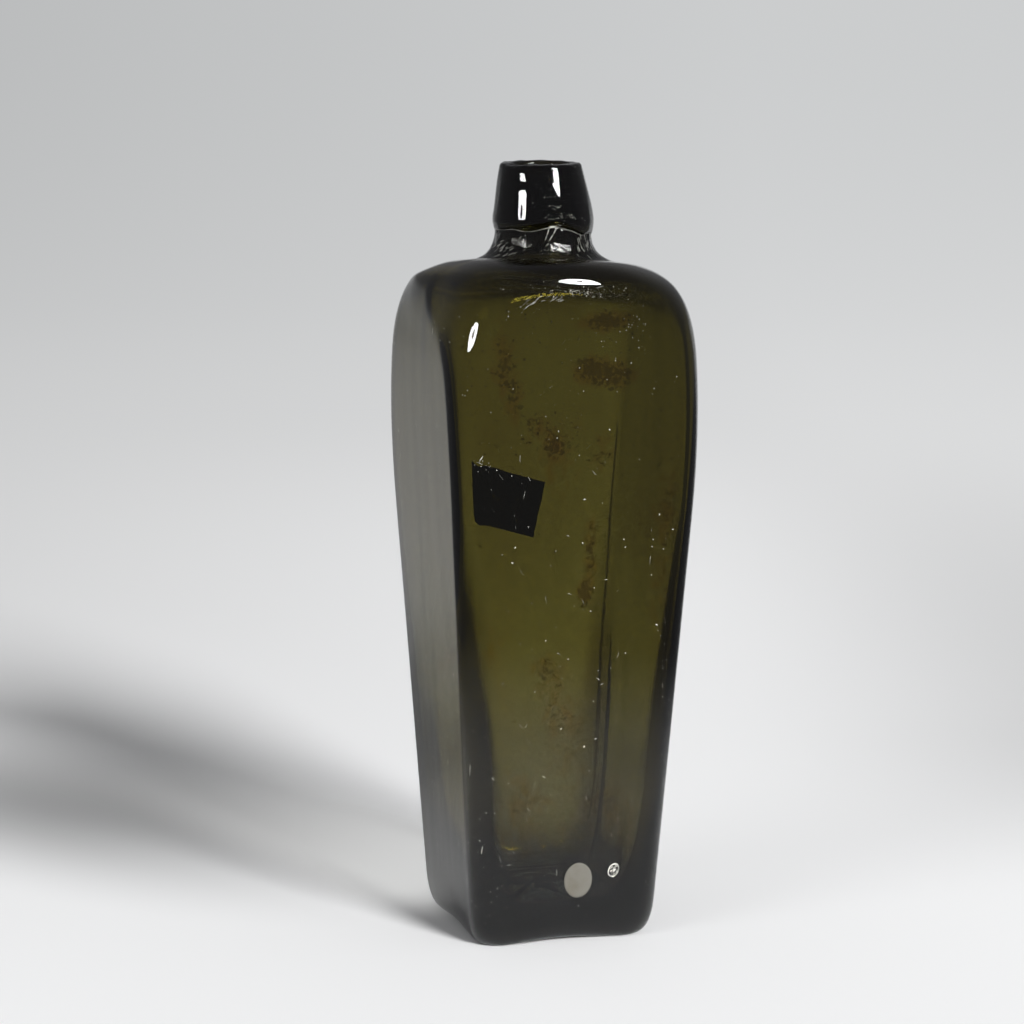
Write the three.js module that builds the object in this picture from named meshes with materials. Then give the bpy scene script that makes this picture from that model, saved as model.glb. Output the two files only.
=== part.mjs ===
// A square, tapering case bottle of dark olive glass: a blown body, a lip laid on round the
// top of its neck, and two small paper labels stuck to the glass.
// Millimetres, +Z up. The origin is the middle of the base, on the plane that the feet stand on.
// The front face looks towards -Y and the left face towards -X.

import * as THREE from 'three';

const { clamp, smoothstep } = THREE.MathUtils;

// Driving dimensions of the body
const HEIGHT = 265;              // feet to the land of the mouth
const SHOULDER_HALF = 44.3;      // half the width across the flats at the widest level
const SHOULDER_LEVEL = 200;      // height of that level
const TAPER_TOP = 142;           // the walls are straight up to here
const TAPER_TOP_HALF = 41.95;
const HEEL_LEVEL = 13;           // the rounded heel ends and the walls start here
const HEEL_HALF = 33.5;
const FOOT_OUTER = 28.5;         // the flat feet lie under the corners, between these two
const FOOT_INNER = 23.5;
const SHOULDER_TOP = 232;        // the nearly flat top of the shoulder
const NECK_ROOT = 24;            // radius where the section has become round
const CORNER = 8;                // radius of the upright corners
const CORNER_GROWS_FROM = 150;   // above this the corners swell until the section is round
const KICK = 6;                  // how far the middle of the base is pushed up
const FOOT_ARCH = 1.3;           // rise of each base edge between two feet

// The shoulder was blown free of the mould: it swells beyond the square, and leans
const SWELL_FROM = 206;          // the sides start to swell towards a circle at this height
const SWELL_HEIGHT = 24.5;       // and have reached it this much higher
const SWELL = 1.255;             // how much wider than the flats between the corners it is
const SWELL_EXTRA = 2.4;         // and how much fuller still where the swelling starts
const HIGH_SIDE = -1.878;        // direction of the highest side, 17.6 degrees left of the front
const LEAN = 0.097;              // slope of the shoulder, up towards that side
const TILT = 0.032;              // and up to the left of it, seen from there
const SADDLE = 800;              // radius in which it sags from front to back, and falls sideways
const LEAN_FROM = 203;           // the lean sets in between these two heights
const LEAN_FULL = 224;
const SOFT_CORNER = 9;           // extra radius of the front left corner, below the shoulder
const SOFT_CORNER_LEVEL = 215;
const OUTER_NECK = [19.5, 27];   // the lean fades out between these distances from the axis
const INNER_NECK = [12, 20];

// Glass thickness
const WALL = 4;
const THIN_WALL = 3.6;           // thickness where the walls start to thicken
const THICK_FROM = 90;           // below this height they thicken towards the floor
const INNER_CORNER = 4;          // radius of the inner corners on the upper walls
const INNER_CORNER_FOOT = 11.5;  // and at the foot, where the glass is thickest
const INNER_FOOT_LEVEL = 66;     // from this height down they are that round
const FLOOR_HALF = 20;           // half-width of the inner floor
const FLOOR = 9.5;               // height of the inner floor at its edge
const FLOOR_MIDDLE = 12.5;       // and over the pushed-up middle
const INNER_SHOULDER_TOP = 228.5;

// Neck and lip
const BORE = 9.6;                // radius of the mouth
const NECK_WAIST = 16.4;         // radius of the neck just below the lip
const LIP_FOOT = 242;            // height of that waist, where the lip ends
const STUB_TOP = 261.5;          // the neck's own end, covered by the lip
const STUB_RADIUS = 12.2;
const LIP_WIDEST = 17.35;
const LIP_WIDEST_LEVEL = 245.8;
const LIP_TOP_RADIUS = 14.25;
const LAND_INNER = 10.8;         // the flat land round the mouth
const LAND_OUTER = 12.8;
const GAP = 0.3;                 // clearance between separate pieces

// Paper labels
const PAPER = 0.3;
const LOT_LABEL_MIDDLE = 141.5;  // height of the back label's middle
const LOT_LABEL_CORNERS = [[-13.6, 14.8], [-9.7, -8.5], [10.4, -12.7], [14, 6.2]];
const DOT_MIDDLE = [3.1, 22.6];  // the front dot's place across and up the face
const DOT_HALF_WIDTH = 5.05;
const DOT_HALF_HEIGHT = 6.3;

// How finely the body is divided
const SIDE_STEPS = 8;
const CORNER_STEPS = 6;
const CURVE_STEPS = 8;
const LIP_STEPS = 44;

// The angles at which every level is cut. They crowd together at the four corners.
function spokeAngles() {
  const flat = HEEL_HALF - CORNER;
  const angles = [];
  for (let quarter = 0; quarter < 4; quarter += 1) {
    const turn = (quarter * Math.PI) / 2;
    for (let i = 0; i < SIDE_STEPS; i += 1) {
      const along = flat * ((2 * i) / SIDE_STEPS - 1);
      angles.push(turn + Math.atan2(along, HEEL_HALF));
    }
    for (let i = 0; i < CORNER_STEPS; i += 1) {
      const bend = (i / CORNER_STEPS) * (Math.PI / 2);
      const x = flat + CORNER * Math.cos(bend);
      const y = flat + CORNER * Math.sin(bend);
      angles.push(turn + Math.atan2(y, x));
    }
  }
  return angles;
}

// Distance from the axis to a rounded square, in the direction of one angle.
function reach(angle, half, corner) {
  const eighth = Math.abs(((angle + Math.PI * 2.25) % (Math.PI / 2)) - Math.PI / 4);
  const flat = half - corner;
  if (half * Math.tan(eighth) <= flat) return half / Math.cos(eighth);
  const towards = flat * (Math.cos(eighth) + Math.sin(eighth));
  return towards + Math.sqrt(Math.max(0, towards ** 2 - 2 * flat ** 2 + corner ** 2));
}

// 1 at the middle of a side, 0 at the corners: the shape of the arch between two feet.
function archShape(angle) {
  const eighth = Math.abs(((angle + Math.PI * 2.25) % (Math.PI / 2)) - Math.PI / 4);
  const along = Math.min(1, (Math.tan(eighth) * HEEL_HALF) / (HEEL_HALF - CORNER));
  return (1 - along ** 2) ** 2;
}

// How much of the arch a level of the outside takes: all at the feet, none on the walls.
function archShare(half, z) {
  if (z >= HEEL_LEVEL) return 0;
  return half < FOOT_INNER ? half / FOOT_INNER : 1 - z / HEEL_LEVEL;
}

// How much a corner has grown by the time the section is round.
function cornerGrowth(z) {
  const swell = Math.max(0, z - CORNER_GROWS_FROM) / (SHOULDER_TOP - CORNER_GROWS_FROM);
  return (NECK_ROOT - CORNER) * swell ** 2;
}

// Corner radius of the outside at one level.
function outerCorner(half, z) {
  const underneath = z < HEEL_LEVEL ? Math.max(0, FOOT_INNER - half) * 0.6 : 0;
  return Math.min(half, CORNER + underneath + cornerGrowth(z));
}

// Corner radius of the inside at one level: sharp above, and rounder towards the foot.
function innerCorner(half, z) {
  const foot = clamp((CORNER_GROWS_FROM - z) / (CORNER_GROWS_FROM - INNER_FOOT_LEVEL), 0, 1);
  const corner = INNER_CORNER + (INNER_CORNER_FOOT - INNER_CORNER) * foot;
  return Math.min(half, corner + cornerGrowth(z));
}

// Extra radius of the front left corner, which was blown rounder than the others.
function softening(angle, z) {
  const off = (angle - Math.PI * 1.25) / 0.66;
  const up = (z - SOFT_CORNER_LEVEL) / 17;
  return SOFT_CORNER * Math.exp(-(off ** 2) - up ** 2);
}

// Distance from the axis to the glass: the square below, swelling to a circle at the shoulder.
function glassReach(angle, half, levelCorner, z) {
  const corner = Math.min(half, levelCorner + softening(angle, z));
  const square = reach(angle, half, corner);
  const roundness = clamp((z - SWELL_FROM) / SWELL_HEIGHT, 0, 1) ** 2.2;
  const circle = (half - corner) * SWELL + corner + SWELL_EXTRA * (1 - roundness);
  return square + (circle - square) * roundness;
}

// How far the leaning shoulder is raised, or lowered, at a point. It fades out towards the
// neck, between two distances from the axis.
function shoulderRise(x, y, z, half, [neckStart, neckEnd]) {
  const share = smoothstep(half, neckStart, neckEnd) * smoothstep(z, LEAN_FROM, LEAN_FULL);
  const near = x * Math.cos(HIGH_SIDE) + y * Math.sin(HIGH_SIDE);
  const left = x * Math.sin(HIGH_SIDE) - y * Math.cos(HIGH_SIDE);
  const top = smoothstep(z, LEAN_FULL, SWELL_FROM + SWELL_HEIGHT);
  const slopes = LEAN * near + TILT * left * (1 - top / 2);
  return (slopes + (near ** 2 - left ** 2 * top) / (2 * SADDLE)) * share;
}

// Half outline of the outside, from the middle of the base to the end of the neck.
function outsidePath() {
  const path = new THREE.Path();
  path.moveTo(0, KICK);
  path.bezierCurveTo(FOOT_INNER * 0.55, KICK, FOOT_INNER * 0.8, 0, FOOT_INNER, 0);
  path.lineTo(FOOT_OUTER, 0);
  path.quadraticCurveTo(HEEL_HALF - 0.9, 0.6, HEEL_HALF, HEEL_LEVEL);
  path.lineTo(TAPER_TOP_HALF, TAPER_TOP);
  path.quadraticCurveTo(SHOULDER_HALF, TAPER_TOP + 36, SHOULDER_HALF, SHOULDER_LEVEL);
  path.bezierCurveTo(
    SHOULDER_HALF, SHOULDER_LEVEL + 25, NECK_ROOT + 14, SHOULDER_TOP, NECK_ROOT, SHOULDER_TOP,
  );
  path.bezierCurveTo(
    NECK_ROOT - 4.5, SHOULDER_TOP + 0.4, NECK_WAIST + 0.4, LIP_FOOT - 6, NECK_WAIST, LIP_FOOT,
  );
  path.lineTo(STUB_RADIUS + 1, LIP_FOOT + 4.5);
  path.quadraticCurveTo(STUB_RADIUS, LIP_FOOT + 7, STUB_RADIUS, STUB_TOP);
  return path;
}

// Half-width of the straight wall at a height, and how far the wall leans out from upright.
const wallSlope = (TAPER_TOP_HALF - HEEL_HALF) / (TAPER_TOP - HEEL_LEVEL);
const wallHalf = (z) => HEEL_HALF + wallSlope * (z - HEEL_LEVEL);
const wallLean = Math.atan(wallSlope);

// Half outline of the inside, from the end of the neck down to the middle of the floor.
function insidePath() {
  const shoulderHalf = SHOULDER_HALF - WALL;
  const path = new THREE.Path();
  path.moveTo(BORE, STUB_TOP);
  path.lineTo(BORE + 0.3, LIP_FOOT + 4);
  path.bezierCurveTo(
    BORE + 0.8, LIP_FOOT - 5, BORE + 3, INNER_SHOULDER_TOP, BORE + 8, INNER_SHOULDER_TOP,
  );
  path.bezierCurveTo(
    shoulderHalf - 5.8, INNER_SHOULDER_TOP, shoulderHalf, SHOULDER_LEVEL + 23.5,
    shoulderHalf, SHOULDER_LEVEL,
  );
  path.quadraticCurveTo(shoulderHalf, TAPER_TOP + 36, TAPER_TOP_HALF - WALL, TAPER_TOP);
  path.lineTo(wallHalf(THICK_FROM) - THIN_WALL, THICK_FROM);
  path.bezierCurveTo(
    HEEL_HALF - 0.3, THICK_FROM - 32, FLOOR_HALF + 13, FLOOR + 3, FLOOR_HALF, FLOOR,
  );
  path.bezierCurveTo(
    FLOOR_HALF - 8, FLOOR - 1, FLOOR_HALF - 12, FLOOR_MIDDLE, 0, FLOOR_MIDDLE,
  );
  return path;
}

// The closed glass body: levels of the outside, then of the inside, each cut at every spoke.
function bodyGeometry() {
  const angles = spokeAngles();
  const levels = [];
  for (const point of outsidePath().getPoints(CURVE_STEPS)) {
    const corner = outerCorner(point.x, point.y);
    const arch = archShare(point.x, point.y);
    levels.push({ half: point.x, z: point.y, corner, arch, neck: OUTER_NECK });
  }
  for (const point of insidePath().getPoints(CURVE_STEPS)) {
    const corner = innerCorner(point.x, point.y);
    levels.push({ half: point.x, z: point.y, corner, arch: 0, neck: INNER_NECK });
  }
  const first = levels.shift();
  const last = levels.pop();
  const positions = [0, 0, first.z];
  for (const { half, z, corner, arch, neck } of levels) {
    for (const angle of angles) {
      const distance = glassReach(angle, half, corner, z);
      const x = distance * Math.cos(angle);
      const y = distance * Math.sin(angle);
      const lift = FOOT_ARCH * arch * archShape(angle) + shoulderRise(x, y, z, half, neck);
      positions.push(x, y, z + lift);
    }
  }
  positions.push(0, 0, last.z);

  const count = angles.length;
  const lastIndex = positions.length / 3 - 1;
  const at = (level, spoke) => 1 + level * count + (spoke % count);
  const index = [];
  for (let spoke = 0; spoke < count; spoke += 1) {
    index.push(0, at(0, spoke + 1), at(0, spoke));
    for (let level = 0; level < levels.length - 1; level += 1) {
      const a = at(level, spoke);
      const b = at(level, spoke + 1);
      const c = at(level + 1, spoke + 1);
      const d = at(level + 1, spoke);
      index.push(a, b, c, a, c, d);
    }
    index.push(at(levels.length - 1, spoke), at(levels.length - 1, spoke + 1), lastIndex);
  }
  const geometry = new THREE.BufferGeometry();
  geometry.setAttribute('position', new THREE.Float32BufferAttribute(positions, 3));
  geometry.setIndex(index);
  return geometry;
}

// The lip: a tapering collar that wraps the stub of the neck and closes over its end.
function lipGeometry() {
  const outline = new THREE.Path();
  outline.moveTo(BORE, STUB_TOP + GAP);
  outline.lineTo(STUB_RADIUS + GAP, STUB_TOP + GAP);
  outline.quadraticCurveTo(
    STUB_RADIUS + GAP, LIP_FOOT + 7.4, STUB_RADIUS + 1.4, LIP_FOOT + 4.75,
  );
  outline.lineTo(NECK_WAIST + 0.22, LIP_FOOT + 0.4);
  outline.quadraticCurveTo(LIP_WIDEST - 0.3, LIP_FOOT + 1.2, LIP_WIDEST, LIP_WIDEST_LEVEL);
  outline.lineTo(LIP_TOP_RADIUS, HEIGHT - 1.8);
  outline.quadraticCurveTo(LIP_TOP_RADIUS - 0.2, HEIGHT, LAND_OUTER, HEIGHT);
  outline.lineTo(LAND_INNER, HEIGHT);
  outline.quadraticCurveTo(BORE, HEIGHT, BORE, HEIGHT - 1.4);
  outline.closePath();
  const geometry = new THREE.LatheGeometry(outline.getPoints(3), LIP_STEPS);
  return geometry.rotateX(Math.PI / 2);
}

// A label's solid: its flat outline in the plane of the face, with the paper's thickness.
function paperGeometry(shape, curveSegments) {
  return new THREE.ExtrudeGeometry(shape, { depth: PAPER, bevelEnabled: false, curveSegments });
}

function glass(color, roughness) {
  return new THREE.MeshStandardMaterial({ color, roughness, metalness: 0 });
}

function paper(color) {
  return new THREE.MeshStandardMaterial({ color, roughness: 0.9, metalness: 0 });
}

function bottleBody() {
  const mesh = new THREE.Mesh(bodyGeometry(), glass(0x34351a, 0.06));
  mesh.name = 'bottle_body';
  return mesh;
}

function appliedLip() {
  const mesh = new THREE.Mesh(lipGeometry(), glass(0x24251a, 0.08));
  mesh.name = 'applied_lip';
  return mesh;
}

// The blank label on the back face. Its outline is as seen from the front.
function lotLabel() {
  const corners = LOT_LABEL_CORNERS.map(([x, up]) => new THREE.Vector2(-x, up));
  const mesh = new THREE.Mesh(paperGeometry(new THREE.Shape(corners), 1), paper(0xcfc6b0));
  mesh.name = 'lot_label';
  mesh.rotation.set(Math.PI / 2 - wallLean, Math.PI, 0);
  mesh.position.set(0, wallHalf(LOT_LABEL_MIDDLE) + GAP, LOT_LABEL_MIDDLE);
  return mesh;
}

// The plain dot near the base of the front face.
function dotLabel() {
  const shape = new THREE.Shape();
  shape.absellipse(0, 0, DOT_HALF_WIDTH, DOT_HALF_HEIGHT, 0, Math.PI * 2);
  const mesh = new THREE.Mesh(paperGeometry(shape, 14), paper(0x9a9789));
  mesh.name = 'dot_label';
  mesh.rotation.set(Math.PI / 2 + wallLean, 0, 0);
  mesh.position.set(DOT_MIDDLE[0], -(wallHalf(DOT_MIDDLE[1]) + GAP), DOT_MIDDLE[1]);
  return mesh;
}

const group = new THREE.Group();
group.add(bottleBody(), appliedLip(), lotLabel(), dotLabel());

export default group;
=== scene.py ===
"""A square, tapering case bottle of dark olive glass, mouth-blown, with a laid-on lip, two blank
paper labels and the wear of a long life. Everything is in metres, +Z up, with the origin in the
middle of the base. The front face looks towards -Y and the left face towards -X."""

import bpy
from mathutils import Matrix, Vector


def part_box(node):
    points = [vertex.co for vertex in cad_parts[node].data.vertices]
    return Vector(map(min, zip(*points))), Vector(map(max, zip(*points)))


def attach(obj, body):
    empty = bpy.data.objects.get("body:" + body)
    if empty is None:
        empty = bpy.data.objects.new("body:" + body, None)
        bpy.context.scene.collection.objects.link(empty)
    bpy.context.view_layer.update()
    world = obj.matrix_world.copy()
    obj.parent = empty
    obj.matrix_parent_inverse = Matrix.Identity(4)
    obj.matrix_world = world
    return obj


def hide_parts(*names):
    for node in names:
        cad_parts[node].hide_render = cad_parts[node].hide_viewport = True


bl_info = {
    "name": "Case Gin Bottle",
    "version": (1, 0, 0),
    "blender": (4, 5, 0),
    "location": "3D View > Sidebar > Bottle",
    "description": "Blows a square case bottle, lays its lip on, labels it and wears it",
    "category": "Add Mesh",
}

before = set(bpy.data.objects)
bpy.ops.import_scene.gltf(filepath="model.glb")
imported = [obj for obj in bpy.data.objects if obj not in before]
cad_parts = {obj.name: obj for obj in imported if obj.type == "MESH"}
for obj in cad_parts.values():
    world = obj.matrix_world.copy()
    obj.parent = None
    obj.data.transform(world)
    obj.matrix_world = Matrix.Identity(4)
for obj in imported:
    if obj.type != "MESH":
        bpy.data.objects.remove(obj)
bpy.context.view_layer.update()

import math
import random
from collections import namedtuple

import bmesh
import bpy
from bpy.props import FloatProperty, FloatVectorProperty, IntProperty, PointerProperty
from mathutils import Matrix, Vector, noise
from mathutils.bvhtree import BVHTree
from mathutils.geometry import interpolate_bezier

MM = 0.001
PICTURE = 1024                    # the picture's width and height, in pixels
SENSOR = 36.0                     # width of the camera's sensor, in millimetres
SAME_PLACE = 1e-7                 # points closer than this are one point
NOTHING = 1e-6                    # a distance or a share below this counts as none

_, BODY_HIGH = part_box("bottle_body")
_, LIP_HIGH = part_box("applied_lip")
DOT_LOW, DOT_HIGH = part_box("dot_label")

# How far the camera stands round from the front, towards the left face
CAMERA_TURN = math.radians(17.58)


def length(name, description, value):
    """A size that a user may change, given in metres."""
    return FloatProperty(name=name, description=description, default=value, min=0.0,
                         unit="LENGTH", precision=5)


def colour(name, description, value):
    """A colour that a user may change."""
    return FloatVectorProperty(name=name, description=description, default=value, size=3,
                               min=0.0, max=1.0, subtype="COLOR")


class BottleSizes(bpy.types.PropertyGroup):
    """Sizes of the glass, and how finely it is divided"""

    height: length("Height", "Feet to the land of the mouth", LIP_HIGH.z)
    shoulder_half: length("Shoulder", "Half the width across the flats at the widest level",
                          BODY_HIGH.x)
    shoulder_level: length("Shoulder level", "Height of the widest level", 200 * MM)
    shoulder_top: length("Shoulder top", "Height of the nearly flat shoulder", 232 * MM)
    taper_top: length("Taper top", "The walls are straight up to here", 142 * MM)
    taper_top_half: length("Taper half", "Half-width at the taper's top", 41.95 * MM)
    heel_level: length("Heel level", "The rounded heel ends here", 13 * MM)
    heel_half: length("Heel half", "Half-width above the heel", 33.5 * MM)
    foot_outer: length("Foot, outer", "The flat feet end here", 28.5 * MM)
    foot_inner: length("Foot, inner", "The flat feet begin here", 23.5 * MM)
    foot_arch: length("Foot arch", "Rise of each base edge between two feet", 1.3 * MM)
    kick: length("Kick", "How far the middle of the base is pushed up", 6 * MM)
    corner: length("Corner", "Radius of the upright corners", 8 * MM)
    neck_root: length("Neck root", "Radius where the section has become round", 24 * MM)
    neck_waist: length("Neck waist", "Radius of the neck just below the lip", 16.35 * MM)
    waist_level: length("Waist level", "Height of that waist", 241.2 * MM)
    stub_top: length("Neck end", "The neck's own end, inside the lip", BODY_HIGH.z)
    stub_radius: length("Neck end radius", "Radius of that end", 12.2 * MM)
    bore: length("Bore", "Radius of the mouth", 9.6 * MM)
    wall: length("Wall", "Thickness of the walls", 4 * MM)
    lip_widest: length("Lip, widest", "Radius of the lip near its foot", LIP_HIGH.x)
    lip_top: length("Lip, top", "Radius of the lip below its rounded rim", 14.25 * MM)
    unevenness: length("Unevenness", "How far the outside sinks here and there", 0.22 * MM)
    around: IntProperty(name="Steps around", description="Divisions of the body round its axis",
                        default=280, min=64)


class BottleColours(bpy.types.PropertyGroup):
    """Colours of the glass, the paper, the dirt, the painted shade and glints, and the stage"""

    glass: colour("Glass", "What the glass lets through", (0.535, 0.505, 0.12))
    haze: colour("Haze", "The pale brown haze inside", (0.88, 0.76, 0.56))
    film: colour("Film", "The thin orange film inside", (0.92, 0.56, 0.20))
    crust: colour("Crust", "The dark crust inside", (0.10, 0.05, 0.02))
    # Also painted shade: this colour darkens the fold and the band down the front left corner; it
    # also darkens the neck and marks smudges and a faint belt low down.
    soot: colour("Soot", "The dark dirt in the fold, the neck and low down",
                 (0.03, 0.025, 0.02))
    lot_paper: colour("Lot label", "Aged paper of the back label", (0.92, 0.84, 0.70))
    dot_paper: colour("Dot label", "Worn paper of the front dot", (0.128, 0.122, 0.104))
    # Also painted glints: on the neck and the lip some of these pale marks stand in for glints and
    # streaks of mirrored light.
    crumb_and_glint: colour("Crumbs", "Dust, nicks and scratches", (0.85, 0.84, 0.76))
    floor: colour("Floor", "The pale floor round the bottle", (0.86, 0.862, 0.865))
    backdrop_low: colour("Backdrop, low", "The backdrop where it meets the floor",
                         (0.72, 0.725, 0.73))
    backdrop_high: colour("Backdrop, high", "The backdrop at the top of the picture",
                          (0.60, 0.61, 0.615))
    room: colour("Dark room", "What the glass mirrors away from the paper and the lamps",
                 (0.17, 0.17, 0.175))
    soft_light: colour("Soft light", "The light that comes from all round", (0.2, 0.2, 0.205))
    glass_density: FloatProperty(name="Glass density", default=690.0, min=0.0,
                                 description="How strongly the body's glass absorbs, per metre")
    lip_density: FloatProperty(name="Lip density", default=2300.0, min=0.0,
                               description="How strongly the lip's glass absorbs, per metre")


# Smooth steps, bumps, noise and directions

def soft_step(low, high, value):
    """0 below low, 1 above high, smooth between."""
    share = min(1.0, max(0.0, (value - low) / (high - low)))
    return share * share * (3 - 2 * share)


def bump_at(value, centre, width):
    """A smooth bump of height 1."""
    return math.exp(-(((value - centre) / width) ** 2))


def wobble(place, wave, seed, upright=1.0):
    """Smooth noise from -1 to 1, with the given wavelength. An upright below 1 draws it out
    along the bottle's axis."""
    x, y, z = place
    return noise.noise(Vector((x, y, z * upright)) / wave + Vector((seed, seed * 0.7, -seed)))


def angle_of(place):
    return math.atan2(place.y, place.x)


def outwards_at(angle):
    """The level direction away from the axis."""
    return Vector((math.cos(angle), math.sin(angle), 0.0))


def facing(angle):
    """Degrees round from the camera's side of the bottle, positive to the camera's right."""
    turn = math.degrees(angle) + 90 + math.degrees(CAMERA_TURN)
    return (turn + 180) % 360 - 180


def off_corner(angle):
    """Degrees round from the front left corner, positive towards the front face."""
    return (math.degrees(angle) + 315) % 360 - 180


def off_face(angle):
    """Angle from the middle of the nearest of the four faces, at most an eighth of a turn."""
    return abs((angle + math.pi * 2.25) % (math.pi / 2) - math.pi / 4)


# Outlines and meshes

class Outline:
    """Half an outline: points as (distance from the axis, height), joined in order."""

    def __init__(self, radius, height):
        self.points = [(radius, height)]

    def line_to(self, radius, height, steps):
        r, z = self.points[-1]
        for step in range(1, steps + 1):
            share = step / steps
            self.points.append((r + (radius - r) * share, z + (height - z) * share))

    def curve_to(self, handle_a, handle_b, end, steps):
        knots = [Vector((r, z, 0.0)) for r, z in (self.points[-1], handle_a, handle_b, end)]
        self.points += [(p.x, p.y) for p in interpolate_bezier(*knots, steps + 1)[1:]]

    def bend_to(self, control, end, steps):
        start = self.points[-1]
        handles = [tuple(a + (c - a) * 2 / 3 for a, c in zip(p, control)) for p in (start, end)]
        self.curve_to(*handles, end, steps)


def spin_round(bm, verts, edges, steps, same_place=SAME_PLACE):
    """Turns a line of edges right round the Z axis, into a skin without a seam."""
    bmesh.ops.spin(bm, geom=verts + edges, cent=(0, 0, 0), axis=(0, 0, 1), dvec=(0, 0, 0),
                   angle=2 * math.pi, steps=steps, use_merge=True, use_duplicate=False)
    bmesh.ops.remove_doubles(bm, verts=bm.verts, dist=same_place)


def wire(bm, points, closed=False):
    """The vertices and the edges of an outline."""
    verts = [bm.verts.new((r, 0.0, z)) for r, z in points]
    ends = verts[1:] + verts[:1] if closed else verts[1:]
    return verts, [bm.edges.new(pair) for pair in zip(verts, ends)]


def turned(points, steps, closed=False):
    """A bmesh of an outline turned round the Z axis."""
    bm = bmesh.new()
    spin_round(bm, *wire(bm, points, closed), steps)
    bmesh.ops.recalc_face_normals(bm, faces=bm.faces)
    return bm


def made(bm, name, material):
    """The finished object of a bmesh, smooth and at the origin."""
    for face in bm.faces:
        face.smooth = True
    mesh = bpy.data.meshes.new(name)
    bm.to_mesh(mesh)
    bm.free()
    mesh.materials.append(material)
    obj = bpy.data.objects.new(name, mesh)
    bpy.context.scene.collection.objects.link(obj)
    return obj


# The shape that the square mould gives

def section_reach(angle, half, corner):
    """Distance from the axis to a rounded square, in one direction."""
    off = off_face(angle)
    flat = half - corner
    if half * math.tan(off) <= flat:
        return half / math.cos(off)
    towards = flat * (math.cos(off) + math.sin(off))
    return towards + math.sqrt(max(0.0, towards ** 2 - 2 * flat ** 2 + corner ** 2))


# Creases below the lip's seam: direction from the camera's side in degrees, height of the top,
# fall in millimetres, slant in degrees a millimetre and how far the crease stands out
Crease = namedtuple("Crease", "turn top fall slant height")
CREASES = (
    Crease(15, 243.8 * MM, 4.5, -1.6, 0.42),
    Crease(25, 243.8 * MM, 7.5, -3.2, 0.38),
    Crease(-38, 241.0 * MM, 7.0, -3.6, 0.22),
    Crease(-58, 241.5 * MM, 8.0, -3.0, 0.20),
    Crease(46, 242.0 * MM, 8.0, 0.6, 0.30),
    Crease(70, 242.5 * MM, 9.0, 0.4, 0.34),
)


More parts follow.
